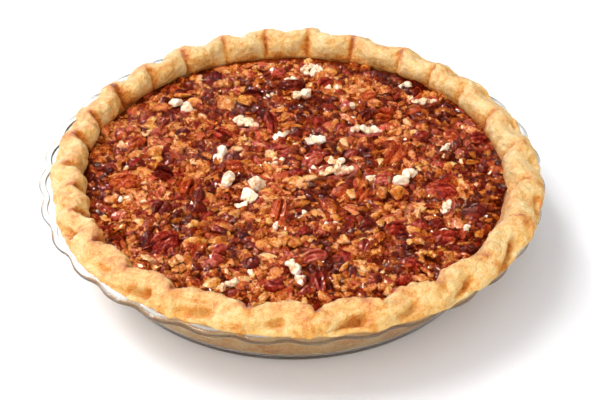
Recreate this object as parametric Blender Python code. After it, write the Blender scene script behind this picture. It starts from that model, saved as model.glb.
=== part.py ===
"""A pecan pie, baked in its clear glass pie dish with a scalloped rim.

Metres, +Z up. The origin is at the middle of the dish's flat base, and -Y is
the pie's front. Every sub-part is one closed body in one object.
"""

import math
import random

import bmesh
import bpy
from mathutils import Matrix, Vector, noise

# Driving dimensions, in metres
MM = 0.001
RIM_RADIUS = 0.131          # over the tips of the rim's scallops
RIM_HEIGHT = 0.0413         # top of the glass flange
BASE_RADIUS = 0.096         # flat ring that the dish stands on
GLASS = 0.0042              # wall of the dish
FILL_RADIUS = 0.1088        # edge of the filling
FILL_LEVEL = 0.0385         # height of the filling at its edge
CLEARANCE = 0.0004          # kept between neighbouring pieces

SCALLOPS = 32
SCALLOP_DEPTH = 0.0022      # tip to hollow
SCALLOP_TURN = 4.8          # degrees from +X to the first tip
STEPS_PER_SCALLOP = 4
STEPS_PER_FLUTE = 6

# The crust was pinched by hand: where each fold falls, in degrees round the pie
# from +X, anticlockwise.
FLUTE_FOLDS = (
    5, 20, 34, 46, 58, 73, 86, 98, 110, 123, 136, 148, 161, 171,
    184, 193, 203, 216, 229, 242, 260, 275, 290, 304, 319, 335, 350,
)
# How far the rim was pressed out (or in, under 0) at each of those folds, in millimetres
FOLD_REACH = (
    -0.9, -3.2, -3, -4.4, -3.2, -0.8, 1.5, 1.5, -0.4, -3.4, -4.2, -2.6, -2.8, -3.8,
    -3, -3.4, -2.9, -1.1, -0.9, -1.2, -0.3, 0.8, 1.4, 1.8, 2.2, 2.9, 2.1,
)
RIM_SHIFT = (0.0005, -0.0023)   # the pastry's rim sits a little off the dish's axis
FRONT_SAG = 0.0010              # the front of the rim sank a little as it baked
NUTS_SHIFT = 0.0012             # the nuts lie a little to +X of the dish's axis

# Pecan pieces large enough to stand out: place of the middle and heading of the
# long axis, then length and width (millimetres and degrees), and the form.
PECANS = (
    (-47, 86, 20, 15, 11, "half"),
    (-2, 77, 0, 17, 9, "half"),
    (16, 77, 60, 11, 9, "broken"),
    (-24, 70, 30, 12, 10, "broken"),
    (-12, 42, 97, 19, 8, "wedge"),
    (49, 49, 10, 13, 10, "broken"),
    (38, 47, 80, 10, 8, "broken"),
    (53, 13, 58, 20, 11, "half"),
    (75, -17, -3, 20, 12, "half"),
    (91, -33, -15, 16, 12, "half"),
    (-69, -4, 20, 13, 11, "broken"),
    (-54, -17, 85, 14, 9, "broken"),
    (-63, -59, 25, 18, 14, "half"),
    (-50, -34, 5, 13, 9, "broken"),
    (-67, -35, 80, 13, 10, "broken"),
    (-39, 28, -20, 12, 9, "broken"),
    (-7, 14, 15, 13, 8, "wedge"),
    (10, 7, 25, 14, 9, "wedge"),
    (-31, 0, 10, 12, 8, "broken"),
    (-7, -34, 83, 17, 10, "half"),
    (35, -22, 75, 12, 8, "broken"),
    (45, -10, 20, 11, 8, "broken"),
    (49, -50, 35, 12, 9, "broken"),
    (73, -56, 12, 17, 9, "wedge"),
    (12, -88, 97, 18, 8, "half"),
    (10, -71, 5, 14, 8, "wedge"),
    (97, 28, 40, 12, 10, "broken"),
    (83, 31, 0, 11, 9, "broken"),
    (22, -5, 8, 21, 13, "upturned"),
    (38, 31, 6, 18, 10, "upturned"),
    (-26, 37, -32, 15, 11, "upturned"),
    (-33, -11, 80, 12, 9, "upturned"),
    (-21, -20, 60, 13, 11, "upturned"),
    (11, 21, 26, 13, 7, "wedge"),
    (58, -7, 42, 15, 8, "wedge"),
    (72, 60, 15, 13, 9, "upturned"),
    (77, -33, 70, 11, 9, "upturned"),
    (1, -84, 114, 17, 10, "upturned"),
    (-60, 56, -25, 13, 10, "upturned"),
    (5, 64, 10, 12, 8, "broken"),
    (-31, 58, 40, 13, 10, "broken"),
    (-78, 10, 8, 14, 9, "half"),
    (-54, -78, 30, 13, 11, "upturned"),
    (22, -89, 80, 16, 9, "upturned"),
    (10, 92, 20, 14, 11, "upturned"),
    (-5, -62, 5, 14, 7, "wedge"),
    (49, -23, 15, 11, 8, "broken"),
    (64, -72, -25, 13, 8, "upturned"),
    (-87, -11, 15, 17, 12, "half"),
)
PECAN_THICKNESS = 0.52      # height of a piece, as a share of its width
PECAN_PROUD = 0.0040        # how far a lying piece stands above the filling


def clear_scene():
    for old in list(bpy.data.objects):
        bpy.data.objects.remove(old, do_unlink=True)


def new_collection(name):
    group = bpy.data.collections.new(name)
    bpy.context.scene.collection.children.link(group)
    return group


def material(name, colour, roughness, metallic=0.0, transmission=0.0):
    mat = bpy.data.materials.new(name)
    mat.use_nodes = True
    shader = mat.node_tree.nodes["Principled BSDF"]
    shader.inputs["Base Color"].default_value = (*colour, 1.0)
    shader.inputs["Roughness"].default_value = roughness
    shader.inputs["Metallic"].default_value = metallic
    shader.inputs["Transmission Weight"].default_value = transmission
    return mat


def finish(bm, name, group, mat, angle=40.0):
    """Turn a bmesh into a named object with its faces pointing out."""
    bmesh.ops.recalc_face_normals(bm, faces=bm.faces)
    mesh = bpy.data.meshes.new(name)
    bm.to_mesh(mesh)
    bm.free()
    mesh.materials.append(mat)
    mesh.shade_smooth()
    mesh.set_sharp_from_angle(angle=math.radians(angle))
    piece = bpy.data.objects.new(name, mesh)
    group.objects.link(piece)
    return piece


def turned(profile, steps):
    """Turn an outline of (radius, height) pairs, from axis to axis, round +Z."""
    bm = bmesh.new()
    points = [bm.verts.new((radius, 0.0, height)) for radius, height in profile]
    edges = [bm.edges.new(pair) for pair in zip(points, points[1:])]
    bmesh.ops.spin(bm, geom=points + edges, cent=(0, 0, 0), axis=(0, 0, 1),
                   angle=2 * math.pi, steps=steps, use_merge=True)
    bmesh.ops.remove_doubles(bm, verts=bm.verts, dist=1e-6)
    return bm


def thin_ring(bm, ring, steps, kept):
    """Weld a hidden ring's points together, so that only `kept` of them stay."""
    radius, height = ring
    around = {}
    for vert in bm.verts:
        if abs(vert.co.z - height) < 1e-6 and abs(math.hypot(*vert.co.xy) - radius) < 1e-6:
            turn = math.atan2(vert.co.y, vert.co.x) / (2 * math.pi) * steps
            around[round(turn) % steps] = vert
    every = steps // kept
    targets = {vert: around[index - index % every]
               for index, vert in around.items() if index % every}
    bmesh.ops.weld_verts(bm, targetmap=targets)


def smooth_step(low, high, value):
    share = min(max((value - low) / (high - low), 0.0), 1.0)
    return share * share * (3 - 2 * share)


def make_dish(group):
    """The glass dish: flat base, sloping wall, and a flange with 32 scallops."""
    steps = SCALLOPS * STEPS_PER_SCALLOP
    inner = RIM_HEIGHT - 0.0010
    edge = RIM_RADIUS - SCALLOP_DEPTH / 2
    outline = [
        (0.0, 0.0), (BASE_RADIUS, 0.0), (0.1025, 0.0025), (0.1050, 0.0080),
        (0.1165, 0.0355), (edge - 0.0025, 0.0375), (edge, 0.0392),
        (edge - 0.0008, RIM_HEIGHT), (0.1175, inner),
        (0.1165 - GLASS + 0.0012, 0.0365), (0.1012, 0.0085),
        (0.0950, GLASS + 0.0004), (0.0, GLASS + 0.0004),
    ]
    bm = turned(outline, steps)
    for ring in outline[1:5] + outline[8:12]:
        thin_ring(bm, ring, steps, SCALLOPS * 2)
    for vert in bm.verts:
        radius = math.hypot(*vert.co.xy)
        reach = smooth_step(0.1180, edge, radius)
        wave = math.cos(SCALLOPS * math.atan2(vert.co.y, vert.co.x))
        grown = (radius + reach * wave * SCALLOP_DEPTH / 2) / max(radius, 1e-9)
        vert.co.xy = vert.co.xy * grown
    bmesh.ops.rotate(bm, verts=bm.verts, matrix=Matrix.Rotation(math.radians(SCALLOP_TURN), 3, "Z"))
    glass = material("clear_glass", (0.93, 0.96, 0.95), 0.05, transmission=1.0)
    return finish(bm, "glass_dish", group, glass)


def fold_at(turn):
    """Real angle of a place `turn` flutes round the crust."""
    folds = list(FLUTE_FOLDS) + [FLUTE_FOLDS[0] + 360]
    index = int(turn) % len(FLUTE_FOLDS)
    return math.radians(folds[index] + (turn % 1.0) * (folds[index + 1] - folds[index]))


def make_crust(group):
    """The pastry: a thin case whose rim is pinched into folds, which stand out
    and up, and round lobes, which lean in and have a finger's dent behind."""
    flutes = len(FLUTE_FOLDS)
    steps = flutes * STEPS_PER_FLUTE
    floor = GLASS + 0.0004 + CLEARANCE
    foot = RIM_HEIGHT + CLEARANCE
    # radius, height, how far it swings out from lobe to fold, how far it sinks in a lobe
    case = [(0.0, floor), (0.0946, floor), (0.1006, 0.0090),
            (0.1165 - GLASS + 0.0008, 0.0370), (0.1172, foot)]
    outside = [(0.1256, foot + 0.0002, 0.0006, 0.0), (0.1270, 0.0447, 0.0012, 0.0),
               (0.1244, 0.0490, 0.0024, 0.0010), (0.1203, 0.0512, 0.0036, 0.0026)]
    inside = [(0.1168, 0.0527, 0.0056, 0.0003), (0.1132, 0.0504, 0.0056, 0.0004),
              (0.1112, 0.0450, 0.0032, 0.0)]
    bowl = [(FILL_RADIUS + CLEARANCE + 0.0004, 0.0380),
            (0.0965, 0.0120), (0.0925, 0.0088), (0.0, 0.0088)]
    outline = case + [ring[:2] for ring in outside + inside] + bowl
    bm = turned(outline, steps)
    for ring in case[1:4] + bowl[:3]:
        thin_ring(bm, ring, steps, flutes * 2)
    dice = random.Random(11)
    lean = [dice.uniform(-0.0007, 0.0007) for _ in range(flutes)]
    lift = [dice.uniform(-0.0008, 0.0008) for _ in range(flutes)]
    for vert in bm.verts:
        radius = math.hypot(*vert.co.xy)
        ring = [ring for ring in outside + inside
                if abs(ring[0] - radius) < 1e-5 and abs(ring[1] - vert.co.z) < 1e-5]
        if not ring:
            continue
        _, height, swing, sink = ring[0]
        angle = math.atan2(vert.co.y, vert.co.x) % (2 * math.pi)
        turn = round(angle / (2 * math.pi) * steps) % steps / STEPS_PER_FLUTE
        part = turn % 1.0
        before, after = int(turn), (int(turn) + 1) % flutes
        if ring[0] in inside:
            fold = 1 - abs(math.sin(math.pi * part))     # a sharp crease at the fold
        else:
            fold = abs(math.cos(math.pi * part))         # round, and creased behind a lobe
        share = smooth_step(foot, 0.0500, height)
        radius += swing * (fold - 0.5)
        radius += share * (lean[before] * (1 - part) + lean[after] * part)
        radius += MM * (FOLD_REACH[before] * (1 - part) + FOLD_REACH[after] * part)
        real = fold_at(turn)
        vert.co.x = radius * math.cos(real) + RIM_SHIFT[0]
        vert.co.y = radius * math.sin(real) + RIM_SHIFT[1]
        vert.co.z += share * (lift[before] * (1 - part) + lift[after] * part)
        vert.co.z -= sink * (1 - fold) + share * FRONT_SAG * max(0.0, -math.sin(real))
    pastry = material("pastry", (0.72, 0.47, 0.22), 0.6)
    return finish(bm, "crust", group, pastry)


def fill_surface(x, y):
    """Height of the filling's uneven top."""
    broad = noise.noise(Vector((x * 18, y * 18, 0.3))) * 0.0016
    small = noise.noise(Vector((x * 75, y * 75, 4.1))) * 0.0014
    dome = 0.0016 * (1 - (math.hypot(x, y) / FILL_RADIUS) ** 2)
    return FILL_LEVEL + dome + broad + small


def make_filling(group, pockets):
    """The nut filling, down to the pastry's floor, with a bed for each piece."""
    steps = 56
    floor = 0.0088 + CLEARANCE
    rings = [FILL_RADIUS * share for share in (0.93, 0.77, 0.58, 0.38, 0.18)]
    outline = [(0.0, floor), (0.0920, floor), (0.0960, 0.0124),
               (FILL_RADIUS, FILL_LEVEL - 0.0010)]
    outline += [(ring, FILL_LEVEL) for ring in rings] + [(0.0, FILL_LEVEL)]
    bm = turned(outline, steps)
    for ring in outline[-3:-1]:
        thin_ring(bm, ring, steps, steps // 4)
    for ring in outline[-5:-3]:
        thin_ring(bm, ring, steps, steps // 2)
    for vert in bm.verts:
        if vert.co.z > FILL_LEVEL - 0.0002:
            vert.co.z = fill_surface(vert.co.x, vert.co.y)
    custard = material("nut_filling", (0.30, 0.10, 0.03), 0.3)
    filling = finish(bm, "nut_filling", group, custard)
    cut = filling.modifiers.new("pecan beds", "BOOLEAN")
    cut.operation = "DIFFERENCE"
    cut.solver = "EXACT"
    cut.use_self = True                     # neighbouring beds may run together
    cut.object = pockets
    return filling


def cut_through(bm, place, away):
    """Cut off what lies on the `away` side of a plane, and close the cut."""
    cut = bmesh.ops.bisect_plane(bm, geom=bm.verts[:] + bm.edges[:] + bm.faces[:], dist=1e-5,
                                 plane_co=place, plane_no=away, clear_outer=True)
    rim = [item for item in cut["geom_cut"] if isinstance(item, bmesh.types.BMEdge)]
    bmesh.ops.contextual_create(bm, geom=rim)


def pecan_form(length, width, form, margin):
    """One pecan piece round the origin, its long axis on X: a dome of two grooved
    lobes over a flat side, whole, broken across, or split down the groove."""
    bm = bmesh.new()
    bmesh.ops.create_uvsphere(bm, u_segments=8, v_segments=5, radius=1.0)
    bmesh.ops.rotate(bm, verts=bm.verts, matrix=Matrix.Rotation(math.pi / 2, 3, "Y"))
    cut_through(bm, Vector(), Vector((0, 0, -1)))
    height = width * PECAN_THICKNESS
    for vert in bm.verts:
        x, y, z = vert.co
        lobe = 0.62 if abs(y) < 0.1 else 1.22
        slim = 1 - 0.2 * max(0.0, x) ** 2
        vert.co = Vector((x * length / 2, y * slim * width / 2, z * lobe * height))
    if form == "broken":
        cut_through(bm, Vector((length * 0.20, 0, 0)), Vector((1.0, 0.45, 0.25)))
    if form == "wedge":
        cut_through(bm, Vector((0, -width * 0.10, 0)), Vector((0.12, -1.0, 0.30)))
    low = Vector([min(vert.co[axis] for vert in bm.verts) for axis in range(3)])
    high = Vector([max(vert.co[axis] for vert in bm.verts) for axis in range(3)])
    middle = (low + high) / 2
    size = Vector((length, width, height)) + Vector((1, 1, 1)) * margin * 2.4
    for vert in bm.verts:
        for axis in range(3):
            share = (vert.co[axis] - middle[axis]) / (high[axis] - low[axis])
            vert.co[axis] = share * size[axis]
    return bm


def pecan_place(index):
    """Where a piece lies: its bed follows the filling, with an uneven tilt."""
    x, y, heading, length, width, form = PECANS[index]
    dice = random.Random(100 + index)
    roll = math.radians(dice.uniform(-16, 16))
    pitch = math.radians(dice.uniform(-9, 9))
    if form == "upturned":
        roll += math.pi
    height = width * MM * PECAN_THICKNESS
    across = x * MM + NUTS_SHIFT
    level = fill_surface(across, y * MM) + PECAN_PROUD - height / 2
    turn = (Matrix.Rotation(math.radians(heading), 4, "Z")
            @ Matrix.Rotation(pitch, 4, "Y") @ Matrix.Rotation(roll, 4, "X"))
    return Matrix.Translation((across, y * MM, level)) @ turn


def make_pecans(group):
    toasted = material("toasted_pecan", (0.24, 0.05, 0.03), 0.35)
    pale = material("pale_pecan", (0.80, 0.62, 0.40), 0.6)
    for index, (_, _, _, length, width, form) in enumerate(PECANS):
        bm = pecan_form(length * MM, width * MM, form, 0.0)
        name = f"pecan_{index + 1:02d}"
        piece = finish(bm, name, group, pale if form == "upturned" else toasted, 60)
        piece.matrix_world = pecan_place(index)


def make_pockets(group):
    """The cutter of all the pecan beds, each a little larger than its piece."""
    whole = bmesh.new()
    for index, (_, _, _, length, width, form) in enumerate(PECANS):
        bm = pecan_form(length * MM, width * MM, form, CLEARANCE)
        bmesh.ops.recalc_face_normals(bm, faces=bm.faces)
        bm.transform(pecan_place(index))
        bed = bpy.data.meshes.new("bed")
        bm.to_mesh(bed)
        bm.free()
        whole.from_mesh(bed)
        bpy.data.meshes.remove(bed)
    mesh = bpy.data.meshes.new("pecan_beds")
    whole.to_mesh(mesh)
    whole.free()
    cutter = bpy.data.objects.new("pecan_beds", mesh)
    cutter.hide_render = True
    cutter.display_type = "WIRE"
    group.objects.link(cutter)
    return cutter


def main():
    clear_scene()
    pie = new_collection("pecan_pie")
    cutters = new_collection("cutters")
    make_dish(pie)
    make_crust(pie)
    make_filling(pie, make_pockets(cutters))
    make_pecans(pie)


main()
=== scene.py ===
import math
import random

import bmesh
import bpy
import numpy
from mathutils import Matrix, Vector, noise


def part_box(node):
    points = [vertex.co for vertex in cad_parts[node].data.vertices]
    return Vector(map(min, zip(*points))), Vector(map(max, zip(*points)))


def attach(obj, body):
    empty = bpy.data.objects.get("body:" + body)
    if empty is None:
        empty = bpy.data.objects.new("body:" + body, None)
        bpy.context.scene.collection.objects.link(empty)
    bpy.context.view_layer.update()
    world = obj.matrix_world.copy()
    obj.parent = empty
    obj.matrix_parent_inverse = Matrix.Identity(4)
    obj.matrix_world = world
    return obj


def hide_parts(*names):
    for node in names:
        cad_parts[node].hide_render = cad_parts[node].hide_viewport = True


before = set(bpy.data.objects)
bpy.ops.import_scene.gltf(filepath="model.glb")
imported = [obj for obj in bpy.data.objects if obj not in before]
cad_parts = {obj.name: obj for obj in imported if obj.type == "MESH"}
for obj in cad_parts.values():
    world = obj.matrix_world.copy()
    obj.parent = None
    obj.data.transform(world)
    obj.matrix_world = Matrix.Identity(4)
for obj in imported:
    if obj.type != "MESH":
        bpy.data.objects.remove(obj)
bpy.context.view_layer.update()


def tint(red, green, blue):  # a screen colour, 0 to 255, as the light the shaders work in
    shades = [value / 255 for value in (red, green, blue)]
    return [s / 12.92 if s <= 0.04045 else ((s + 0.055) / 1.055) ** 2.4 for s in shades] + [1.0]


def addNode(tree, kind, inputs=None, **settings):
    made = tree.nodes.new(kind)
    for name, value in settings.items():
        setattr(made, name, value)
    for name, value in (inputs or {}).items():
        if isinstance(value, bpy.types.NodeSocket):
            tree.links.new(value, made.inputs[name])
        else:
            made.inputs[name].default_value = value
    return made


def newMaterial(name, **values):
    mat = bpy.data.materials.new(name)
    mat.use_nodes = True
    tree = mat.node_tree
    shader = tree.nodes["Principled BSDF"]
    for key, value in values.items():
        shader.inputs[key.replace("_", " ")].default_value = value
    where = addNode(tree, "ShaderNodeTexCoord").outputs["Object"]
    return mat, tree, shader, where


def noiseAt(tree, where, scale, detail=3.0, rough=0.55, warp=0.0):
    made = addNode(tree, "ShaderNodeTexNoise", {"Vector": where, "Scale": scale, "Detail": detail,
                                               "Roughness": rough, "Distortion": warp})
    return made.outputs["Fac"]


def rampOf(tree, factor, stops):
    made = addNode(tree, "ShaderNodeValToRGB", {"Fac": factor})
    line = made.color_ramp
    while len(line.elements) < len(stops):
        line.elements.new(0.5)
    for element, (place, colour) in zip(line.elements, stops):
        element.position = place
        element.color = colour
    return made.outputs["Color"]


def mixOf(tree, factor, first, second, way="MIX"):
    made = addNode(tree, "ShaderNodeMix", data_type="RGBA", blend_type=way)
    for socket, value in ((0, factor), (6, first), (7, second)):
        if isinstance(value, bpy.types.NodeSocket):
            tree.links.new(value, made.inputs[socket])
        else:
            made.inputs[socket].default_value = value
    return made.outputs[2]


def mathOf(tree, way, first, second=0.0, clamp=False):
    made = addNode(tree, "ShaderNodeMath", {0: first, 1: second}, operation=way)
    made.use_clamp = clamp
    return made.outputs["Value"]


def valueOf(tree, name):
    return addNode(tree, "ShaderNodeAttribute", attribute_name=name).outputs["Fac"]


def bumpFrom(tree, shader, height, distance, strength=1.0):
    made = addNode(tree, "ShaderNodeBump", {"Height": height, "Distance": distance,
                                           "Strength": strength})
    tree.links.new(made.outputs["Normal"], shader.inputs["Normal"])


def pieceFrom(bm, name, mat, replaced=()):
    mesh = bpy.data.meshes.new(name)
    bm.to_mesh(mesh)
    bm.free()
    mesh.materials.append(mat)
    piece = bpy.data.objects.new(name, mesh)
    bpy.context.scene.collection.objects.link(piece)
    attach(piece, "root")
    if replaced:
        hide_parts(*replaced)
    return piece


def smoothRows(rows, counts):  # a smooth curve through rows of numbers, so many steps to each gap
    made = []
    for index, count in enumerate(counts):
        before = rows[max(index - 1, 0)]
        start, end = rows[index], rows[index + 1]
        after = rows[min(index + 2, len(rows) - 1)]
        for step in range(count):
            t = step / count
            made.append([0.5 * (2 * b + (c - a) * t + (2 * a - 5 * b + 4 * c - d) * t * t
                                + (3 * b - a - 3 * c + d) * t ** 3)
                         for a, b, c, d in zip(before, start, end, after)])
    return made + [list(rows[-1])]


def spinRows(rows, steps):  # turns (radius, height, ...) rows round Z and notes each point's row
    bm = bmesh.new()
    rowLayer = bm.verts.layers.int.new("row")
    points = [bm.verts.new((row[0], 0, row[1])) for row in rows]
    for index, point in enumerate(points):
        point[rowLayer] = index
    edges = [bm.edges.new(pair) for pair in zip(points, points[1:])]
    bmesh.ops.spin(bm, geom=points + edges, cent=(0, 0, 0), axis=(0, 0, 1),
                   angle=2 * math.pi, steps=steps, use_merge=True)
    ends = [edge for edge in bm.edges if edge.is_boundary]
    bmesh.ops.holes_fill(bm, edges=ends, sides=0)
    bmesh.ops.recalc_face_normals(bm, faces=bm.faces)
    return bm, rowLayer


def smoothShade(bm, limit=180.0):
    for face in bm.faces:
        face.smooth = True
    for edge in bm.edges:
        if len(edge.link_faces) == 2 and edge.calc_face_angle(0.0) > math.radians(limit):
            edge.smooth = False


# the view and the studio

studio = {
    "aim": (0.0041, 0.0, 0.0199),
    "distance": 0.780,
    "elevation": 38.11,
    "lens": 88.6,
    # each lamp's place, size and power
    "lamps": {
        "softKey": ((-1.05, 0.00, 2.04), 1.1, 31.0),
        "frontFill": ((-0.40, -1.50, 1.20), 1.6, 7.5),
        "backSparkle": ((-0.80, 1.20, 1.60), 0.16, 220.0),
        "sideSparkle": ((-1.30, 0.55, 1.50), 0.14, 130.0),
    },
    # the sky's shade from in front of the table to behind it
    "sky": [(0.375, (1.0, 1.0, 1.02, 1.0)), (0.66, (0.66, 0.66, 0.66, 1.0)), (0.80, (0.12, 0.12, 0.12, 1.0))],
    "floorReach": 4.0,
}


def buildStudio():
    scene = bpy.context.scene
    scene.view_settings.view_transform = "Standard"
    rise = math.radians(studio["elevation"])
    lens = bpy.data.cameras.new("tableCamera")
    lens.lens = studio["lens"]
    camera = bpy.data.objects.new("tableCamera", lens)
    back = Vector((0, -math.cos(rise), math.sin(rise)))
    camera.location = Vector(studio["aim"]) + back * studio["distance"]
    camera.rotation_euler = (math.pi / 2 - rise, 0, 0)
    scene.collection.objects.link(camera)
    scene.camera = camera

    for name, (place, size, power) in studio["lamps"].items():
        light = bpy.data.lights.new(name, "AREA")
        light.size = size
        light.energy = power
        lamp = bpy.data.objects.new(name, light)
        lamp.location = place
        lamp.visible_diffuse = "Sparkle" not in name  # the small lamp makes glints alone
        lamp.rotation_euler = (-lamp.location).to_track_quat("-Z", "Y").to_euler()
        scene.collection.objects.link(lamp)

    world = bpy.data.worlds.new("studioSky")
    world.use_nodes = True
    tree = world.node_tree
    way = addNode(tree, "ShaderNodeTexCoord").outputs["Generated"]
    depth = addNode(tree, "ShaderNodeSeparateXYZ", {"Vector": way}).outputs["Y"]
    halved = mathOf(tree, "MULTIPLY", depth, 0.5)
    glow = rampOf(tree, mathOf(tree, "ADD", halved, 0.5, True), studio["sky"])
    tree.links.new(glow, tree.nodes["Background"].inputs["Color"])
    scene.world = world

    bm = bmesh.new()
    bmesh.ops.create_grid(bm, x_segments=8, y_segments=8, size=studio["floorReach"])
    bmesh.ops.translate(bm, verts=bm.verts, vec=(0, 0, -0.0001))
    mesh = bpy.data.meshes.new("studioFloor")
    bm.to_mesh(mesh)
    bm.free()
    mat, tree, shader, where = newMaterial("palePaper", Roughness=0.9)
    shade = rampOf(tree, noiseAt(tree, where, 3.0), [(0.3, tint(244, 244, 246)), (0.7, tint(247, 247, 249))])
    tree.links.new(shade, shader.inputs["Base Color"])
    mesh.materials.append(mat)
    floor = bpy.data.objects.new("studioFloor", mesh)
    scene.collection.objects.link(floor)
    print("studio ready")


buildStudio()


# the clear dish

dishPlan = {
    "scallops": 32,
    "scallopDepth": 0.0022,
    "firstTip": math.radians(4.8),
    "stepsPerScallop": 10,
    "wall": 0.0042,
    "bead": 0.0019,
    "paintedEdgeShade": tint(96, 90, 94),
}


def glassMaterial():
    mat, tree, shader, where = newMaterial("clearGlass", Roughness=0.02, IOR=1.47,
                                           Transmission_Weight=1.0)
    shade = rampOf(tree, noiseAt(tree, where, 9.0), [(0.3, tint(246, 249, 248)), (0.7, tint(252, 253, 252))])
    # painted shade: the glass colour turns dark at the dish's outer edge, by the lip value, standing in for the dark
    # surroundings seen refracted through the thick edge
    shade = mixOf(tree, valueOf(tree, "lip"), shade, dishPlan["paintedEdgeShade"])
    tree.links.new(shade, shader.inputs["Base Color"])
    bumpFrom(tree, shader, noiseAt(tree, where, 55.0, 2.0), 0.00025, 0.35)
    return mat


def buildDish():
    low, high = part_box("glass_dish")
    rim = high.x
    edge = rim - dishPlan["scallopDepth"] / 2
    top = high.z
    wall = dishPlan["wall"]
    bead = dishPlan["bead"]
    lip = []
    for angle in range(-130, 131, 26):  # the rounded lip, from underneath over its outer side
        turn = math.radians(angle)
        lip.append((edge - bead + bead * math.cos(turn), top - bead + bead * math.sin(turn)))
    outside = [
        (0.0600, 0.0000), (0.0935, 0.0000), (0.0975, 0.0002), (0.1023, 0.0024), (0.1048, 0.0075),
        (0.1098, 0.0195), (0.1150, 0.0325), (0.1174, 0.0364), (0.1210, 0.0379), (0.1240, 0.0382),
    ]
    inside = [
        (0.1245, 0.0404), (0.1190, 0.0402), (0.1152, 0.0391), (0.1132, 0.0365), (0.1100, 0.0290),
        (0.1060, 0.0195), (0.1010, 0.0082), (0.0985, 0.0056), (0.0940, wall + 0.0004), (0.0600, wall + 0.0004),
    ]
    rows = outside + lip + inside
    counts = [1, 2, 3, 3, 4, 4, 3, 3, 2, 2] + [2] * (len(lip) - 1) + [2, 3, 3, 3, 3, 4, 4, 3, 2, 1]
    bm, rowLayer = spinRows(smoothRows(rows, counts), dishPlan["scallops"] * dishPlan["stepsPerScallop"])
    paintedEdgeShadeLayer = bm.verts.layers.float.new("lip")
    for vert in bm.verts:
        radius = math.hypot(vert.co.x, vert.co.y)
        vert[paintedEdgeShadeLayer] = 0.85 * min(max((radius - edge) / 0.0004 + 1.4, 0.0), 1.0)  # painted shade at the outer edge, for the dark surroundings refracted through thick glass
        angle = math.atan2(vert.co.y, vert.co.x)
        reach = min(max((radius - 0.1185) / (edge - 0.1185), 0.0), 1.0)
        reach = reach * reach * (3 - 2 * reach)
        swing = math.cos(dishPlan["scallops"] * (angle - dishPlan["firstTip"]))
        wave = 1 - 2 * (0.5 - 0.5 * swing) ** 1.5  # round tips, tighter hollows
        grown = (radius + reach * wave * dishPlan["scallopDepth"] / 2) / radius
        vert.co.x *= grown
        vert.co.y *= grown
    smoothShade(bm, 60)
    dish = pieceFrom(bm, "clearDish", glassMaterial(), ["glass_dish"])
    print("dish", len(dish.data.polygons))


buildDish()


# the pastry

crustPlan = {
    # where each fold was pinched, in degrees round the pie
    "folds": (5, 20, 34, 46, 58, 73, 86, 98, 110, 123, 136, 148, 161, 171,
              184, 193, 203, 216, 229, 242, 260, 275, 290, 304, 319, 335, 350),
    # how far the rim was pressed out, or in, at each of them, in millimetres
    "reach": (-0.9, -3.2, -3, -4.4, -3.2, -0.8, 1.5, 1.5, -0.4, -3.4, -4.2, -2.6, -2.8, -3.8,
              -3, -3.4, -2.9, -1.1, -0.9, -1.2, -0.3, 0.8, 1.4, 1.8, 2.2, 2.9, 2.1),
    "stepsPerFlute": 28,
    "shift": (0.0005, -0.0023),
    "frontSag": 0.0010,
    "lumps": 0.0010,
    "flakes": 0.0012,
    "grain": 0.0004,
}


def pastryMaterial():
    mat, tree, shader, where = newMaterial("bakedPastry", Roughness=0.65, Subsurface_Weight=0.05,
                                           Subsurface_Scale=0.004, Specular_IOR_Level=0.25)
    shader.inputs["Subsurface Radius"].default_value = (1.0, 0.5, 0.25)
    blotch = noiseAt(tree, where, 95.0, 4.0, 0.65, 0.6)
    fleck = noiseAt(tree, where, 430.0, 3.0, 0.65)
    speck = noiseAt(tree, where, 1100.0, 2.0, 0.6)
    spread = mathOf(tree, "MULTIPLY", mathOf(tree, "SUBTRACT", blotch, 0.5), 1.5)
    bakeAndShade = mathOf(tree, "ADD", valueOf(tree, "bakeAndShade"), spread)
    bakeAndShade = mathOf(tree, "ADD", bakeAndShade, mathOf(tree, "MULTIPLY", mathOf(tree, "SUBTRACT", fleck, 0.5), 0.65))
    bakeAndShade = mathOf(tree, "ADD", bakeAndShade, mathOf(tree, "MULTIPLY", mathOf(tree, "SUBTRACT", speck, 0.5), 0.45), True)
    shade = rampOf(tree, bakeAndShade, [(0.0, tint(248, 214, 150)), (0.25, tint(243, 193, 112)), (0.48, tint(230, 155, 68)),
                                (0.72, tint(203, 112, 32)), (1.0, tint(148, 64, 8))])
    crumb = noiseAt(tree, where, 1150.0, 3.0, 0.7)
    flake = noiseAt(tree, where, 380.0, 3.0, 0.6, 0.8)
    relief = mathOf(tree, "ADD", mathOf(tree, "MULTIPLY", crumb, 0.6), flake)
    # painted shade: the crumb noise that sinks the bump also darkens the colour in its low places
    paintedCrumbShade = rampOf(tree, crumb, [(0.3, tint(232, 220, 206)), (0.55, tint(255, 255, 255))])
    shade = mixOf(tree, 1.0, shade, paintedCrumbShade, "MULTIPLY")
    tree.links.new(shade, shader.inputs["Base Color"])
    bumpFrom(tree, shader, relief, 0.0016, 0.9)
    return mat


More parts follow.
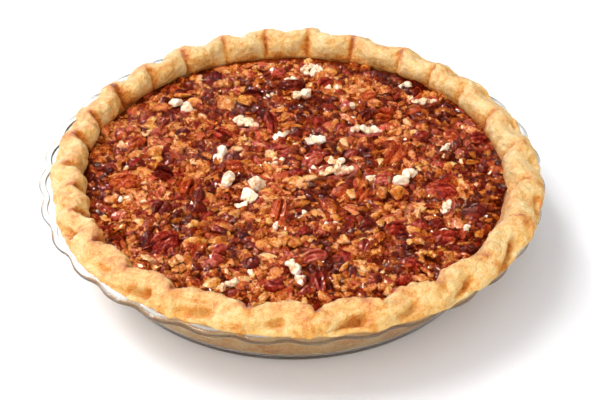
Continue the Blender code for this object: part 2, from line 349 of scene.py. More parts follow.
def buildCrust():
    folds = crustPlan["folds"]
    reach = crustPlan["reach"]
    flutes = len(folds)
    perFlute = crustPlan["stepsPerFlute"]
    # radius, height, swing from lobe to fold, sink in a lobe, 0 outside to 1 inside, way up to the crest, rim share
    rows = [
        (0.0950, 0.0042, 0, 0, 0, -1, 0), (0.1016, 0.0080, 0, 0, 0, -1, 0), (0.1066, 0.0193, 0, 0, 0, -1, 0),
        (0.1106, 0.0287, 0, 0, 0, -0.8, 0), (0.1139, 0.0364, 0, 0, 0, -0.5, 0), (0.1175, 0.0396, 0, 0, 0, -0.3, 0),
        (0.1232, 0.0400, 0.0002, 0, 0, 0.0, 0.3), (0.1262, 0.0422, 0.0006, 0, 0, 0.12, 0.9),
        (0.1271, 0.0447, 0.0012, 0, 0, 0.28, 1), (0.1262, 0.0472, 0.0018, 0.0004, 0, 0.45, 1),
        (0.1240, 0.0494, 0.0026, 0.0010, 0, 0.62, 1), (0.1205, 0.0513, 0.0036, 0.0018, 0, 0.80, 1),
        (0.1184, 0.0524, 0.0048, 0.0010, 0.4, 0.91, 1), (0.1160, 0.0527, 0.0056, 0.0003, 0.8, 1.0, 1),
        (0.1136, 0.0509, 0.0056, 0.0004, 1, 1.15, 1), (0.1119, 0.0475, 0.0044, 0, 1, 1.3, 1),
        (0.1108, 0.0435, 0.0026, 0, 1, 1.45, 0.8), (0.1099, 0.0395, 0.0008, 0, 1, 1.6, 0.4),
        (0.1088, 0.0350, 0, 0, 1, 2, 0), (0.0925, 0.0088, 0, 0, 1, 3, 0),
    ]
    counts = [2, 4, 4, 3, 3, 3, 3, 4, 4, 4, 5, 5, 4, 4, 4, 4, 4, 3, 1]
    rows = smoothRows(rows, counts)
    bm, rowLayer = spinRows(rows, flutes * perFlute)
    bakeAndShade = bm.verts.layers.float.new("bakeAndShade")
    dice = random.Random(11)
    lean = [dice.uniform(-0.0007, 0.0007) for _ in folds]
    lift = [dice.uniform(-0.0008, 0.0008) for _ in folds]
    depth = [dice.uniform(0.75, 1.2) for _ in folds]
    dent = [dice.uniform(0.3, 1.3) for _ in folds]
    tip = [dice.uniform(-0.14, 0.12) for _ in folds]
    pleat = [dice.uniform(0.3, 1.2) for _ in folds]
    toast = [dice.uniform(0.4, 1.0) for _ in folds]
    angles = list(folds) + [folds[0] + 360]
    for vert in bm.verts:
        radius, height, swing, sink, inside, upward, rim = rows[vert[rowLayer]]
        angle = math.atan2(vert.co.y, vert.co.x) % (2 * math.pi)
        turn = round(angle / (2 * math.pi) * flutes * perFlute) % (flutes * perFlute) / perFlute
        here = int(turn)
        after = (here + 1) % flutes
        part = turn - here
        real = math.radians(angles[here] + part * (angles[here + 1] - angles[here]))
        crease = 1 - math.sqrt(math.sin(math.pi * part) ** 2 + 0.004)      # sharp at the fold
        knuckle = math.sqrt(math.cos(math.pi * part) ** 2 + 0.015)         # sharp behind the lobe
        fold = crease * inside + knuckle * (1 - inside)
        ease = part * part * (3 - 2 * part)
        strength = depth[here] * (1 - ease) + depth[after] * ease
        radius += swing * strength * (fold - 0.5)
        radius += rim * (lean[here] * (1 - part) + lean[after] * part)
        radius += rim * 0.001 * (reach[here] * (1 - part) + reach[after] * part)
        height += rim * (lift[here] * (1 - part) + lift[after] * part)
        height -= rim * crustPlan["frontSag"] * max(0.0, -math.sin(real))
        height -= sink * (1 - fold)
        # each petal's far end stands over the near end of the next
        lap = pleat[here] * (part - 0.5) * (1 - abs(2 * part - 1) ** 12 * 0.2)
        crestward = math.exp(-((upward - 1.05) / 0.22) ** 2)
        radius -= 0.0018 * lap * inside * rim
        height += 0.0013 * lap * crestward
        # the finger's dent slants up from the fold to end sharply behind the lobe
        along = part - 0.5 - tip[here]
        run = min(max((along + 0.56) / 0.42, 0.0), 1.0) * min(max((0.20 - along) / 0.10, 0.0), 1.0)
        across = upward - 0.58 - 0.38 * min(along, 0.14)
        across /= 0.15 if across < 0 else 0.085  # steep above, gentle below
        thumb = run * math.exp(-across ** 2) * dent[here] * rim
        pit = math.exp(-((along - 0.09) / (0.15 if along < 0.09 else 0.05)) ** 2 - (across / 0.9) ** 2) * dent[here] * rim
        furrow = math.exp(-((upward - 0.34) / 0.07) ** 2) * rim
        furrow *= 0.6 + noise.noise(Vector((part + here, 3.3, 0)) * 1.7)
        nick = math.exp(-(min(part, 1 - part) / 0.05) ** 2) * inside * rim  # the crease inside a fold
        height -= 0.0040 * thumb + 0.0010 * pit + 0.0003 * furrow
        radius -= 0.0030 * thumb + 0.0008 * pit + 0.0007 * furrow
        radius += 0.0011 * nick * strength
        rib = noise.noise(Vector((math.cos(real) * 26, math.sin(real) * 26, upward * 0.7))) * rim  # small upright puckers
        radius += 0.0010 * rib * (0.4 + 0.6 * inside)
        vert.co = (radius * math.cos(real) + crustPlan["shift"][0] * rim,
                   radius * math.sin(real) + crustPlan["shift"][1] * rim, height)
        heat = toast[here] * (1 - ease) + toast[after] * ease
        crest = math.exp(-((height - 0.0525) / 0.0030) ** 2) * 0.10
        halo = math.exp(-(min(part, 1 - part) / 0.13) ** 2) * rim * heat  # the wider browning beside a fold: partly toasting, partly painted shade in the fold's valley
        soaked = min(max((upward - 1.40) / 0.16, 0.0), 1.0)  # syrup creeps up the inside
        # painted shade with browning: the value rises in the finger dents and pits and in each crease inside a fold,
        # partly toasting and partly painted shade in those recesses; the small inside term is painted bounce light that
        # warms the inner wall
        vert[bakeAndShade] = 0.10 + 0.40 * soaked + (0.12 * thumb + 0.30 * pit) * heat + 0.46 * nick * heat + crest + 0.04 * inside * rim
        # rib browns the puckers that stand out; the last term is browner towards the front and left and paler towards
        # the back and right, partly the crust's own browning and partly painted light that evens out how the lamps
        # light each side
        vert[bakeAndShade] += 0.18 * halo + 0.26 * max(rib, 0.0) + (-0.02 * vert.co.x - 0.09 * vert.co.y) / rows[0][0]
        if rim < 0.5:
            vert[bakeAndShade] += 0.05 * (1 - rim * 2)
    bm.normal_update()
    for vert in bm.verts:
        rim = rows[vert[rowLayer]][6]
        broad = noise.noise(vert.co * 115) * crustPlan["lumps"]
        middle = (abs(noise.noise(vert.co * 190 + Vector((7, 3, 1)))) - 0.2) * crustPlan["flakes"]
        fine = noise.noise(vert.co * 480 + Vector((2, 9, 4))) * crustPlan["grain"]
        vert.co += vert.normal * (broad + middle + fine) * rim
        # painted shade: the value rises where the flakes sink and falls where they stand out; the noise is the crust's
        # own blotchy browning
        vert[bakeAndShade] += noise.noise(vert.co * 60 + Vector((5, 5, 5))) * 0.16 - middle * 90
    smoothShade(bm)
    crust = pieceFrom(bm, "flutedCrust", pastryMaterial(), ["crust"])
    print("crust", len(crust.data.polygons))


buildCrust()


# the nuts

mm = 0.001

heapPlan = {
    "edge": 0.1088,
    "shift": 0.0012,
    "level": 0.0385,
    "syrupShadeAbove": 0.0003,
    "syrupShadeReach": 0.0019,
}


def heapTop(x, y):  # height of the filling's uneven top
    broad = noise.noise(Vector((x * 18, y * 18, 0.3))) * 0.0016
    small = noise.noise(Vector((x * 75, y * 75, 4.1))) * 0.0014
    dome = 0.0016 * (1 - (math.hypot(x, y) / heapPlan["edge"]) ** 2)
    return heapPlan["level"] + dome + broad + small


def noteDepth(bm, share=1.0):  # how far into the syrup each point lies, 0 clear of it to 1 well under, which sets the syrup colour and painted shade deep among the bits
    deep = bm.verts.layers.float.new("deep")
    for vert in bm.verts:
        x, y, z = vert.co
        under = (heapTop(x, y) + heapPlan["syrupShadeAbove"] - z) / heapPlan["syrupShadeReach"]
        vert[deep] = min(max(under, 0.0), 1.0) * share


def swing(tree, fac, amount):  # a noise as a push either way
    return mathOf(tree, "MULTIPLY", mathOf(tree, "SUBTRACT", fac, 0.5), amount)


def nutMaterial(name, skins, flesh, syrupAndShadeColour, gloss, rough, hued=1.0):
    mat, tree, shader, where = newMaterial(name, Specular_IOR_Level=gloss, Roughness=rough)
    shader.inputs["Specular Tint"].default_value = (1.0, 0.52, 0.32, 1.0)
    blotch = noiseAt(tree, where, 420.0, 3.0, 0.6, 0.5)
    grain = noiseAt(tree, where, 950.0, 2.0, 0.6)
    drift = mathOf(tree, "ADD", valueOf(tree, "tone"), swing(tree, blotch, 1.3))
    drift = mathOf(tree, "ADD", drift, swing(tree, grain, 1.1), True)
    edge = mathOf(tree, "ADD", valueOf(tree, "skin"), swing(tree, grain, 0.9), True)
    shade = mixOf(tree, edge, rampOf(tree, drift, flesh), rampOf(tree, drift, skins))
    # painted shade with syrup: the deeper a point lies among the bits, the more it takes the dark syrup colour, which
    # also stands in for the shade between them
    syrupAndShade = mathOf(tree, "ADD", valueOf(tree, "deep"), swing(tree, blotch, 0.9), True)
    shade = mixOf(tree, mathOf(tree, "MULTIPLY", syrupAndShade, 0.85), shade, syrupAndShadeColour)
    hues = rampOf(tree, noiseAt(tree, where, 190.0, 2.0, 0.6), hueDrift)
    shade = mixOf(tree, hued, shade, hues, "MULTIPLY")
    tree.links.new(shade, shader.inputs["Base Color"])
    relief = mathOf(tree, "ADD", noiseAt(tree, where, 620.0, 1.5, 0.5), mathOf(tree, "MULTIPLY", blotch, 0.5))
    bumpFrom(tree, shader, relief, 0.0013, 0.8)
    return mat


hueDrift = [(0.36, (0.98, 0.86, 0.96, 1.0)), (0.52, (0.96, 0.92, 0.86, 1.0)), (0.66, (0.94, 0.96, 0.58, 1.0))]
darkSyrupAndShade = tint(70, 14, 1)
paleSyrupAndShade = tint(150, 78, 34)
redSkins = [(0.0, tint(54, 3, 1)), (0.4, tint(104, 17, 4)), (0.7, tint(150, 40, 12)), (1.0, tint(194, 80, 40))]
amberFlesh = [(0.0, tint(62, 8, 0)), (0.34, tint(104, 28, 1)), (0.60, tint(146, 54, 6)), (0.82, tint(192, 94, 26)),
              (1.0, tint(230, 158, 84))]
goldFlesh = [(0.0, tint(130, 48, 4)), (0.42, tint(188, 96, 22)), (0.75, tint(222, 144, 66)), (1.0, tint(242, 194, 134))]
rosyFlesh = [(0.0, tint(70, 7, 0)), (0.40, tint(120, 28, 3)), (0.70, tint(168, 64, 18)), (1.0, tint(226, 144, 80))]
creamFlesh = [(0.0, tint(160, 84, 36)), (0.28, tint(214, 150, 92)), (0.55, tint(242, 210, 164)), (0.85, tint(252, 240, 216))]

nutLooks = {
    # skin and flesh colours, the syrup colour that also paints the shade deep among the bits, gloss, roughness
    "plum": ([(0.0, tint(42, 3, 1)), (0.5, tint(92, 12, 5)), (1.0, tint(150, 50, 30))], amberFlesh, darkSyrupAndShade, 0.16, 0.08),
    "red": ([(0.0, tint(74, 4, 1)), (0.5, tint(142, 24, 10)), (1.0, tint(208, 90, 60))], amberFlesh, darkSyrupAndShade, 0.22, 0.07),
    "rust": ([(0.0, tint(104, 20, 2)), (0.5, tint(180, 60, 16)), (1.0, tint(230, 130, 66))], amberFlesh, darkSyrupAndShade, 0.20, 0.08),
    "rose": ([(0.0, tint(112, 14, 10)), (0.5, tint(182, 58, 44)), (1.0, tint(232, 150, 124))], creamFlesh, darkSyrupAndShade, 0.20, 0.08),
    "gold": (redSkins, goldFlesh, darkSyrupAndShade, 0.14, 0.08),
    "cream": ([(0.0, tint(120, 14, 8)), (0.5, tint(190, 58, 42)), (1.0, tint(234, 142, 120))], creamFlesh, paleSyrupAndShade, 0.2, 0.45, 0.2),
    "amber": (redSkins, amberFlesh, darkSyrupAndShade, 0.15, 0.06),
    "rosy": ([(0.0, tint(70, 4, 2)), (0.5, tint(136, 26, 10)), (1.0, tint(200, 88, 54))], rosyFlesh, darkSyrupAndShade, 0.17, 0.06),
}

nutMats = {look: nutMaterial(look + "Nut", *values) for look, values in nutLooks.items()}


def faceLayers(bm, skinned=0.0):
    skin = bm.faces.layers.float.get("skin") or bm.faces.layers.float.new("skin")
    tone = bm.faces.layers.float.get("tone") or bm.faces.layers.float.new("tone")
    for face in bm.faces:
        face[skin] = skinned
        face[tone] = 0.5
    return skin, tone


def randomPoint(dice):
    return Vector((dice.uniform(0, 50), dice.uniform(0, 50), dice.uniform(0, 50)))


def randomWay(dice):
    return Vector((dice.gauss(0, 1), dice.gauss(0, 1), dice.gauss(0, 1))).normalized()


def snapAt(bm, place, away):  # snaps a nut at a plane and leaves bare flesh there
    skin = bm.faces.layers.float["skin"]
    cut = bmesh.ops.bisect_plane(bm, geom=bm.verts[:] + bm.edges[:] + bm.faces[:], dist=1e-6,
                                 plane_co=place, plane_no=away, clear_outer=True)
    rim = [item for item in cut["geom_cut"] if isinstance(item, bmesh.types.BMEdge)]
    for face in bmesh.ops.holes_fill(bm, edges=rim, sides=0)["faces"]:
        face[skin] = 0.0


def choppedNut(dice, size, detail, cuts, skinned):
    # a chopped bit round the origin: a ridged lump, snapped flat on some sides, with skin on one
    bm = bmesh.new()
    bmesh.ops.create_icosphere(bm, subdivisions=detail, radius=size / 2)
    seed = randomPoint(dice)
    stretch = Vector((dice.uniform(1.0, 2.0), dice.uniform(0.7, 1.1), dice.uniform(0.45, 0.85)))
    relief = bm.verts.layers.float.new("relief")
    for vert in bm.verts:
        broad = noise.noise(vert.co * (1.1 / size) + seed)
        ridge = 0.25 - abs(noise.noise(vert.co * (2.4 / size) + seed))
        # painted shade: ridges and bulges get a lighter tone, the hollows a darker one
        vert[relief] = broad * 0.5 + ridge * 1.2
        vert.co = vert.co * stretch * (1 + 0.9 * broad + 0.8 * ridge)
    skin, tone = faceLayers(bm)
    bm.normal_update()
    outer = randomWay(dice)
    for face in bm.faces:
        face[tone] = sum(vert[relief] for vert in face.verts) / len(face.verts)
        if skinned and face.normal.dot(outer) > 0.15:
            face[skin] = 1.0
    for _ in range(cuts):
        away = randomWay(dice)
        snapAt(bm, away * size * dice.uniform(0.25, 0.42), away)
    bm.verts.layers.float.remove(relief)
    bmesh.ops.triangulate(bm, faces=bm.faces)
    smoothShade(bm, 55)
    return bm


def skinFlake(dice, size):
    # a curved sliver of the outside: skin on its back, flesh beneath
    bm = bmesh.new()
    bmesh.ops.create_grid(bm, x_segments=5, y_segments=3, size=0.5)
    seed = randomPoint(dice)
    long, wide = size, size * dice.uniform(0.35, 0.6)
    for vert in bm.verts:
        x, y, z = vert.co
        ragged = 1 + 0.5 * noise.noise(Vector((x * 2.2, y * 2.2, 0)) + seed)
        across = y * ragged * (1 - 1.2 * x * x)
        vert.co = (x * long * ragged, across * wide, -2.2 * across * across * wide - 0.8 * x * x * long
                   + 0.12 * wide * noise.noise(Vector((x * 4, y * 4, 1)) + seed))
    bmesh.ops.solidify(bm, geom=bm.faces[:], thickness=size * 0.17)
    bmesh.ops.recalc_face_normals(bm, faces=bm.faces)
    bm.normal_update()
    skin, tone = faceLayers(bm)
    for face in bm.faces:
        face[skin] = 1.0 if face.normal.z > 0.35 else 0.0
        face[tone] = 0.0
    bmesh.ops.triangulate(bm, faces=bm.faces)
    smoothShade(bm, 50)
    return bm


def halfNut(dice, length, width, height, around=44, along=30):
    # a pecan half round the origin, long axis on X: wrinkled lobes beside a groove, flat below
    bm = bmesh.new()
    bmesh.ops.create_uvsphere(bm, u_segments=around, v_segments=along, radius=1)
    bmesh.ops.rotate(bm, verts=bm.verts, matrix=Matrix.Rotation(math.pi / 2, 3, "Y"))
    relief = bm.verts.layers.float.new("relief")
    seed = randomPoint(dice)
    bend = dice.uniform(-0.16, 0.16)
    side = dice.uniform(-0.2, 0.2)
    for vert in bm.verts:
        x, y, z = vert.co
        drift = noise.noise(Vector((x * 1.5, y * 0.7, 0)) + seed)
        groove = 0.60 * math.exp(-((y - side) / 0.14) ** 2) * (1 - 0.3 * x * x)
        wrinkle = math.sin(y * 13 + 4.0 * drift) * 0.085
        knob = noise.noise(Vector((x * 2.6, y * 4.2, z * 2)) + seed) * 0.22 + noise.noise(vert.co * 6 + seed) * 0.05
        stripe = noise.noise(Vector((x * 1.3, y * 9.0, 3.0)) + seed)
        slim = 1 - 0.20 * x * x - 0.12 * max(x, 0) ** 2
        tall = z * (1.08 - groove) + (wrinkle + knob) * min(z * 2, 1) if z > 0 else z * 0.2 + knob * 0.2
        # painted shade: wrinkles and knobs get a lighter tone and the groove a darker one; the stripe is the skin's own
        # streaks
        vert[relief] = (wrinkle + knob) * 1.2 - groove * 0.7 + stripe * 0.7
        vert.co = (x * length / 2 * (1 + 0.12 * drift), (y * slim * (1 + 0.4 * knob) + bend * (x * x - 0.3)) * width / 2,
                   tall * height)
    skin, tone = faceLayers(bm, 1.0)
    for face in bm.faces:
        face[tone] = 0.5 + sum(vert[relief] for vert in face.verts) / len(face.verts)
    bm.verts.layers.float.remove(relief)
    return bm


def addLumps(bm, dice, spots, detail=3):  # torn flesh: ragged lumps grown into each other
    skin, tone = bm.faces.layers.float["skin"], bm.faces.layers.float["tone"]
    relief = bm.verts.layers.float.get("relief") or bm.verts.layers.float.new("relief")
    for x, y, z, radius in spots:
        seed = randomPoint(dice)
        shade = dice.uniform(0.5, 0.85)
        breaks = [(randomWay(dice), radius * dice.uniform(0.40, 0.70)) for _ in range(4)]
        made = bmesh.ops.create_icosphere(bm, subdivisions=detail, radius=1)["verts"]
        for vert in made:
            way = vert.co.copy()
            ridge = 0.22 - abs(noise.noise(way * 1.5 + seed))
            crumb = noise.noise(way * 3.6 + seed)
            # painted shade: each lump's ridges get a lighter tone and its creases a darker one
            vert[relief] = 0.9 * ridge + 0.5 * crumb
            vert.co = way * (1.08 + 0.6 * noise.noise(way * 0.8 + seed) + 0.45 * ridge + 0.10 * crumb) * radius
            for away, limit in breaks:
                vert.co -= away * max(vert.co.dot(away) - limit, 0.0)
            vert.co.z *= 0.8
            vert.co += Vector((x, y, z))
        for face in {face for vert in made for face in vert.link_faces}:
            face[skin] = 1.0 if face.calc_center_median().z < z - 0.30 * radius else 0.0
            face[tone] = shade + sum(vert[relief] for vert in face.verts) / 3


def addBoat(bm, dice, length, width, depth, place):  # a curl of skin, open on top
    skin, tone = bm.faces.layers.float["skin"], bm.faces.layers.float["tone"]
    seed = randomPoint(dice)
    shade = dice.uniform(0.6, 0.85)
    made = bmesh.ops.create_grid(bm, x_segments=16, y_segments=8, size=1)["verts"]
    for vert in made:
        u, v = vert.co.x, vert.co.y
        ragged = 1 + 0.3 * noise.noise(Vector((u * 2.5, v, 0)) + seed)
        lean = v * math.radians(95) * ragged
        slim = math.sqrt(max(1 - 0.92 * u * u, 0.0))
        ribbed = 1 + 0.10 * math.sin(v * 16 + 3 * noise.noise(Vector((u * 2, 0, 0)) + seed))
        vert.co = Vector((u * length / 2, math.sin(lean) * slim * width / 2 * ribbed,
                          -math.cos(lean) * slim * depth * ribbed + 0.35 * u * u * depth)) + place
    faces = list({face for vert in made for face in vert.link_faces})
    thick = bmesh.ops.solidify(bm, geom=faces, thickness=width * 0.10)["geom"]
    faces += [item for item in thick if isinstance(item, bmesh.types.BMFace)]
    bmesh.ops.recalc_face_normals(bm, faces=faces)
    for face in faces:
        face[skin] = 1.0
        face[tone] = shade + 0.25 * noise.noise(face.calc_center_median() * 900 + seed)


# where the lumps of a torn piece stand, as shares of its length, width, height and width
tornForms = {
    "peak": ((-0.34, 0.02, 0.10, 0.17), (-0.17, 0.04, 0.20, 0.23), (0.02, 0.06, 0.25, 0.27), (0.20, 0.04, 0.15, 0.22),
             (0.36, 0.02, 0.05, 0.15), (0.02, 0.22, 0.50, 0.21), (-0.08, 0.36, 0.75, 0.17), (0.12, 0.38, 0.70, 0.17)),
    "ridge": ((-0.40, 0.06, 0.15, 0.19), (-0.24, 0.10, 0.25, 0.25), (-0.06, 0.08, 0.25, 0.27), (0.12, 0.06, 0.25, 0.25),
              (0.28, 0.08, 0.20, 0.24), (0.42, 0.06, 0.10, 0.19)),
    "slope": ((-0.38, 0.08, 0.40, 0.23), (-0.20, 0.10, 0.35, 0.28), (0.00, 0.08, 0.30, 0.25), (0.20, 0.06, 0.20, 0.24),
              (0.37, 0.04, 0.10, 0.19)),
}


def openNut(dice, length, width, height, form, detail=3):
    # a torn piece lying flesh up over a curl of its skin, long axis on X
    bm = bmesh.new()
    faceLayers(bm)
    if form in tornForms:
        spots = [(x * length, y * width, z * height, radius * width) for x, y, z, radius in tornForms[form]]
        addBoat(bm, dice, length * 1.06, width * 0.72, height * 0.80, Vector((0, -0.02 * width, 0.24 * height)))
    elif form in ("ring", "hook"):
        count = 8
        share = 1.0 if form == "ring" else 0.68
        spots = []
        for index in range(count):
            angle = index / count * 2 * math.pi * share + 0.6
            spots.append((math.cos(angle) * length * 0.33, math.sin(angle) * width * 0.33, height * 0.15,
                          width * dice.uniform(0.17, 0.24)))
    else:
        count = max(round(length / width * 1.6), 2)
        spots = []
        for index in range(count):
            along = (index + dice.uniform(-0.25, 0.25)) / (count - 1) - 0.5
            spots.append((along * length * 0.58, dice.uniform(-0.10, 0.10) * width, dice.uniform(0.0, 0.25) * height,
                          width * dice.uniform(0.36, 0.50)))
    addLumps(bm, dice, spots, detail)
    bm.verts.layers.float.remove(bm.verts.layers.float["relief"])
    return bm


def addCopy(heap, template, place, tone):
    copy = template.copy()
    copy.transform(place)
    tones = numpy.zeros(len(copy.polygons), numpy.float32)
    copy.attributes["tone"].data.foreach_get("value", tones)
    copy.attributes["tone"].data.foreach_set("value", numpy.clip(tones + tone, 0, 1))
    heap.from_mesh(copy)
    bpy.data.meshes.remove(copy)


def templateMeshes(kind, forms, maker, seed):
    made = []
    for index in range(forms):
        bm = maker(random.Random(seed + index))
        mesh = bpy.data.meshes.new(f"{kind}{index}")
        bm.to_mesh(mesh)
        bm.free()
        made.append(mesh)
    return made


def anyTurn(dice):
    return Matrix.Rotation(dice.uniform(0, 2 * math.pi), 4, randomWay(dice))


def lieOf(name):  # middle, turn and size of a large piece, read from its solid
    points = numpy.array([vert.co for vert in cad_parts[name].data.vertices])
    points = numpy.unique(points.round(6), axis=0)
    spread = points - points.mean(0)
    axes = numpy.linalg.svd(spread, full_matrices=False)[2]
    long, wide = Vector(axes[0]), Vector(axes[1])
    if long.x < 0:
        long = -long
    up = long.cross(wide).normalized()
    if up.z < 0:
        up = -up
    wide = up.cross(long).normalized()
    reach = []
    middle = Vector(points.mean(0))
    for axis in (long, wide, up):
        along = spread @ numpy.array(axis)
        reach.append(along.max() - along.min())
        middle += axis * float(along.max() + along.min()) / 2
    turn = Matrix((long, wide, up)).transposed().to_4x4()
    return middle, turn, reach


largeLooks = {  # which look each large piece has, by its number
    "plum": (1, 2, 4, 10, 11, 14, 15, 7),
    "red": (3, 5, 9, 13, 16, 23, 25, 27, 24),
    "rust": (6, 8, 12, 19, 20, 21, 28, 49),
    "rose": (17, 18, 22, 26),
    "gold": (42, 43, 44, 46, 47, 48, 41),
    "cream": (29, 30, 31, 32, 33, 34, 35, 36, 37, 38, 39, 40, 45),
}

openForms = {29: "peak", 30: "ridge", 31: "slope", 36: "slope", 38: "slope", 37: "ridge", 43: "ring", 45: "ring",
             44: "hook", 48: "hook"}


def buildLargeNuts():
    lies = []
    for look, numbers in largeLooks.items():
        for number in numbers:
            name = f"pecan_{number:02d}"
            middle, turn, (length, width, height) = lieOf(name)
            dice = random.Random(700 + number)
            if look in ("cream", "gold"):
                bm = openNut(dice, length, width, max(height, 0.0045), openForms.get(number, "lumps"), 3)
                bmesh.ops.translate(bm, verts=bm.verts, vec=(0, 0, height * 0.05))
            else:
                bm = halfNut(dice, length * 1.04, width * 1.04, height * 0.95)
                bmesh.ops.translate(bm, verts=bm.verts, vec=(0, 0, -height * 0.42))
                if length < 0.0135:
                    end = dice.choice((-1, 1))
                    snapAt(bm, Vector((end * length * 0.34, 0, 0)), Vector((end, dice.uniform(-0.5, 0.5), 0.3)))
            bm.transform(Matrix.Translation(middle) @ turn)
            smoothShade(bm, 60)
            noteDepth(bm, 0.5)
            pieceFrom(bm, "nut_" + name[-2:], nutMats[look], [name])
            lies.append((middle, turn, length, width))
    print("large nuts", len(lies))
    return lies


largeLies = buildLargeNuts()

accentNuts = {
    # smaller pieces that still stand out, as (x, y, heading, length, width) in millimetres and degrees
    "red": [(13, 41, 20, 9, 7), (24, 36, 70, 8, 5), (1, -4, 10, 9, 5), (25, -71, 60, 7, 6), (-9, -92, 5, 11, 7),
            (52, -89, 20, 9, 8), (62, -47, -10, 12, 6), (56, -77, -12, 12, 6), (34, -62, 80, 10, 6), (-43, -40, 40, 9, 5),
            (5, -50, 70, 8, 5), (-83, 5, 50, 9, 5), (68, 30, 15, 10, 6), (30, 12, 40, 9, 5)],
    "plum": [(1, 30, 30, 8, 8), (-97, -38, -24, 10, 4), (-72, 63, 60, 7, 5), (-64, 69, 10, 8, 5), (70, -45, 15, 9, 7),
             (85, 20, 80, 9, 6), (-48, -25, 70, 11, 6), (-60, 30, 20, 9, 6), (-72, -58, 75, 12, 7), (-20, -76, 60, 12, 8),
             (36, -44, 50, 9, 6), (98, 2, 60, 8, 6)],
    "rose": [(-10, 88, 0, 11, 8), (-38, -75, 10, 9, 7), (-36, -66, 30, 9, 6), (-18, 20, -20, 10, 5), (28, 57, 50, 8, 5)],
    "rust": [(23, -21, 30, 10, 7), (-93, 30, 60, 8, 8), (-84, 22, 40, 14, 7), (-76, 12, 30, 12, 7), (40, 66, 10, 10, 6),
             (66, 52, 30, 9, 6), (-5, -6, 80, 7, 5)],
    "gold": [(65, 4, 15, 9, 5), (-48, -61, 10, 8, 8), (-39, -65, 40, 6, 5), (-32, -78, 60, 7, 5), (34, -80, 30, 9, 6),
             (93, -19, 0, 7, 5), (44, -92, 20, 7, 5), (46, -45, 20, 8, 7), (6, -57, 10, 8, 5), (-48, -47, 15, 14, 5),
             (59, -59, -5, 12, 6), (-5, -24, 0, 14, 2), (0, -15, 80, 11, 2), (22, -60, 50, 9, 6), (-84, 40, 30, 8, 6),
             (54, 32, 20, 8, 5), (-52, 46, 10, 9, 6), (80, 2, 10, 7, 5)],
    "cream": [(-6, 29, 20, 7, 7), (-40, 11, 60, 8, 7), (31, 44, 70, 6, 5), (30, 57, 20, 5, 5), (-20, -77, 86, 12, 5),
              (-31, -92, 30, 10, 6), (-14, 3, 20, 11, 4), (-26, -31, 10, 7, 5), (-94, -34, 0, 6, 4), (4, -38, 70, 10, 3),
              (-9, -46, 60, 7, 3), (62, 79, 0, 6, 5), (80, 18, 40, 5, 5), (79, -25, 60, 7, 4), (85, -48, 70, 7, 4),
              (74, -50, 20, 6, 4), (18, -45, 30, 6, 5), (32, -94, 80, 9, 3), (-14, 67, 20, 6, 4), (20, 73, 0, 6, 5),
              (-2, 83, 30, 6, 5), (-8, 7, 0, 6, 4), (40, -9, 30, 7, 5), (12, -2, 0, 5, 4), (-86, -26, 10, 6, 5)],
}


def buildAccentNuts():
    for look, rows in accentNuts.items():
        dice = random.Random(len(look) * 17)
        heap = bmesh.new()
        faceLayers(heap)
        for x, y, heading, length, width in rows:
            x, y, length, width = x * mm + heapPlan["shift"], y * mm, length * mm, width * mm
            if look in ("cream", "gold"):
                bm = openNut(dice, length, width, width * 0.6, "lumps", 2 if look == "gold" else 3)
            else:
                bm = halfNut(dice, length, width, width * 0.55, 20, 14)
            tilt = Matrix.Rotation(dice.gauss(0, 0.25), 4, "X")
            spin = Matrix.Rotation(math.radians(heading), 4, "Z")
            bm.transform(Matrix.Translation((x, y, heapTop(x, y) + 0.0008)) @ spin @ tilt)
            smoothShade(bm, 60)
            mesh = bpy.data.meshes.new("accent")
            bm.to_mesh(mesh)
            bm.free()
            heap.from_mesh(mesh)
            bpy.data.meshes.remove(mesh)
        noteDepth(heap)
        piece = pieceFrom(heap, look + "Accents", nutMats[look])
        print(piece.name, len(rows), len(piece.data.polygons))


buildAccentNuts()


def underLargeNut(x, y, room):
    for middle, turn, length, width in largeLies:
        if abs(x - middle.x) > length or abs(y - middle.y) > length:
            continue
        away = turn.inverted() @ Vector((x - middle.x, y - middle.y, 0))
        if (away.x / (length / 2 + room)) ** 2 + (away.y / (width / 2 + room)) ** 2 < 1:
            return True
    return False


smallKinds = {
    # spacing, least and largest size, how high it lies, tones, look, forms and how each is made
    "nutMeal": {"gap": 0.0024, "small": 0.7, "large": 1.3, "lift": -0.0003, "spread": 0.0008, "tones": (0.1, 0.76),
                "look": "amber", "forms": 20, "seed": 31, "keep": 0.88, "room": -0.0004, "flat": 0,
                "make": lambda dice: choppedNut(dice, 0.0026, 1, 1, dice.random() < 0.35)},
    "nutBits": {"gap": 0.0034, "small": 0.6, "large": 1.3, "lift": 0.0002, "spread": 0.0010, "tones": (0.15, 0.9),
                "look": "amber", "forms": 26, "seed": 57, "keep": 0.60, "room": -0.0008, "flat": 0.4,
                "make": lambda dice: choppedNut(dice, 0.0043, 2, 1, dice.random() < 0.4)},
    "nutRosy": {"gap": 0.0046, "small": 0.6, "large": 1.3, "lift": 0.0003, "spread": 0.0009, "tones": (0.2, 0.9),
                "look": "rosy", "forms": 20, "seed": 71, "keep": 0.70, "room": -0.0006, "flat": 0.4,
                "make": lambda dice: choppedNut(dice, 0.0047, 2, 1, dice.random() < 0.5)},
    "nutGold": {"gap": 0.0084, "small": 0.6, "large": 1.25, "lift": 0.0005, "spread": 0.0006, "tones": (0.2, 0.9),
                "look": "gold", "forms": 12, "seed": 95, "keep": 1.0, "room": -0.0006, "flat": 0.35,
                "make": lambda dice: choppedNut(dice, 0.0048, 2, 2, False)},
    "nutFlakes": {"gap": 0.0062, "small": 0.75, "large": 1.4, "lift": 0.0008, "spread": 0.0005, "tones": (0.1, 0.9),
                  "look": "rosy", "forms": 14, "seed": 83, "keep": 0.8, "room": 0.0, "flat": 0.5,
                  "make": lambda dice: skinFlake(dice, 0.0060)},
}


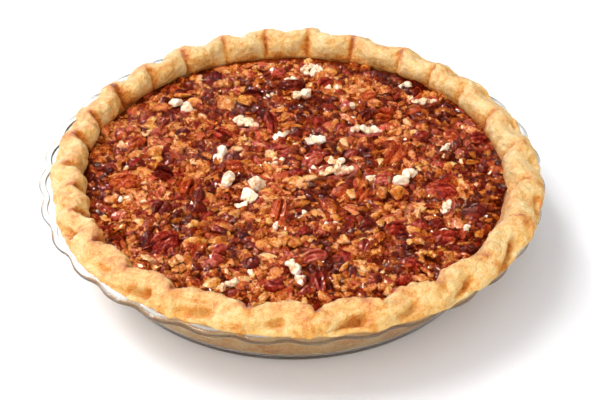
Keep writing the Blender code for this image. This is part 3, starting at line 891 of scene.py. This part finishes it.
def buildSmallNuts():
    for kind, plan in smallKinds.items():
        forms = templateMeshes(kind, plan["forms"], plan["make"], plan["seed"])
        dice = random.Random(plan["seed"] * 7)
        gap = plan["gap"]
        count = int(heapPlan["edge"] / gap) + 2
        heap = bmesh.new()
        placed = 0
        for row in range(-count, count + 1):
            for column in range(-count, count + 1):
                x = (column + 0.5 * (row % 2) + dice.uniform(-0.45, 0.45)) * gap
                y = (row + dice.uniform(-0.45, 0.45)) * gap * 0.87
                inner = math.hypot(x - crustPlan["shift"][0], y - crustPlan["shift"][1] * 0.7)
                if dice.random() > plan["keep"] or inner > heapPlan["edge"] - gap * 0.3:
                    continue
                if underLargeNut(x, y, plan["room"]):
                    continue
                scale = dice.uniform(plan["small"], plan["large"])
                z = heapTop(x, y) + plan["lift"] + dice.uniform(-1, 1) * plan["spread"]
                turn = anyTurn(dice)
                if plan["flat"]:
                    turn = Matrix.Rotation(dice.uniform(0, 6.3), 4, "Z") @ Matrix.Rotation(dice.gauss(0, plan["flat"]), 4, "X")
                place = Matrix.Translation((x, y, z)) @ turn @ Matrix.Scale(scale, 4)
                patch = 0.65 * noise.noise(Vector((x * 45, y * 45, 8.0))) - 0.11 * x / heapPlan["edge"] - 0.04
                tone = min(max(dice.uniform(*plan["tones"]) + patch, 0.0), 1.0)
                addCopy(heap, dice.choice(forms), place, tone)
                placed += 1
        noteDepth(heap)
        piece = pieceFrom(heap, kind, nutMats[plan["look"]])
        for form in forms:
            bpy.data.meshes.remove(form)
        print(kind, placed, len(piece.data.polygons))


buildSmallNuts()


# the baked custard under the nuts

custardPlan = {
    "cell": 0.00092,
    "sunk": 0.0003,
    "lumps": 0.0010,
}


def custardMaterial():
    mat, tree, shader, where = newMaterial("bakedCustard", Roughness=0.07, Specular_IOR_Level=0.22)
    shader.inputs["Specular Tint"].default_value = (1.0, 0.52, 0.32, 1.0)
    cloud = noiseAt(tree, where, 520.0, 4.0, 0.65, 0.4)
    shade = rampOf(tree, cloud, [(0.28, tint(56, 7, 0)), (0.45, tint(92, 21, 1)), (0.58, tint(134, 48, 6)),
                                 (0.72, tint(180, 90, 22)), (0.88, tint(218, 146, 72))])
    tree.links.new(shade, shader.inputs["Base Color"])
    bumpFrom(tree, shader, noiseAt(tree, where, 700.0, 3.0, 0.6), 0.0008, 0.8)
    return mat


def buildCustard():
    edge = heapPlan["edge"] + 0.0012
    cells = int(2 * edge / custardPlan["cell"])
    bm = bmesh.new()
    bmesh.ops.create_grid(bm, x_segments=cells, y_segments=cells, size=edge)
    outer = [vert for vert in bm.verts if vert.co.length > edge - custardPlan["cell"] * 0.3]
    bmesh.ops.delete(bm, geom=outer, context="VERTS")
    rim = [edgeLine for edgeLine in bm.edges if edgeLine.is_boundary]
    for vert in {vert for edgeLine in rim for vert in edgeLine.verts}:
        vert.co = vert.co.normalized() * edge
    for vert in bm.verts:
        x, y = vert.co.xy
        ease = min((edge - math.hypot(x, y)) / 0.002, 1.0)
        lumps = noise.noise(Vector((x * 420, y * 420, 1.7))) + 0.6 * noise.noise(Vector((x * 900, y * 900, 5.2)))
        vert.co.z = heapTop(x, y) - custardPlan["sunk"] + lumps * custardPlan["lumps"] * ease
    wall = bmesh.ops.extrude_edge_only(bm, edges=rim)["geom"]
    foot = [item for item in wall if isinstance(item, bmesh.types.BMVert)]
    for vert in foot:
        vert.co = (vert.co.x * 0.0928 / edge, vert.co.y * 0.0928 / edge, 0.0086)
    bmesh.ops.holes_fill(bm, edges=[item for item in bm.edges if item.is_boundary], sides=0)
    bmesh.ops.recalc_face_normals(bm, faces=bm.faces)
    smoothShade(bm, 60)
    custard = pieceFrom(bm, "bakedCustard", custardMaterial(), ["nut_filling"])
    print("custard", len(custard.data.polygons))


buildCustard()
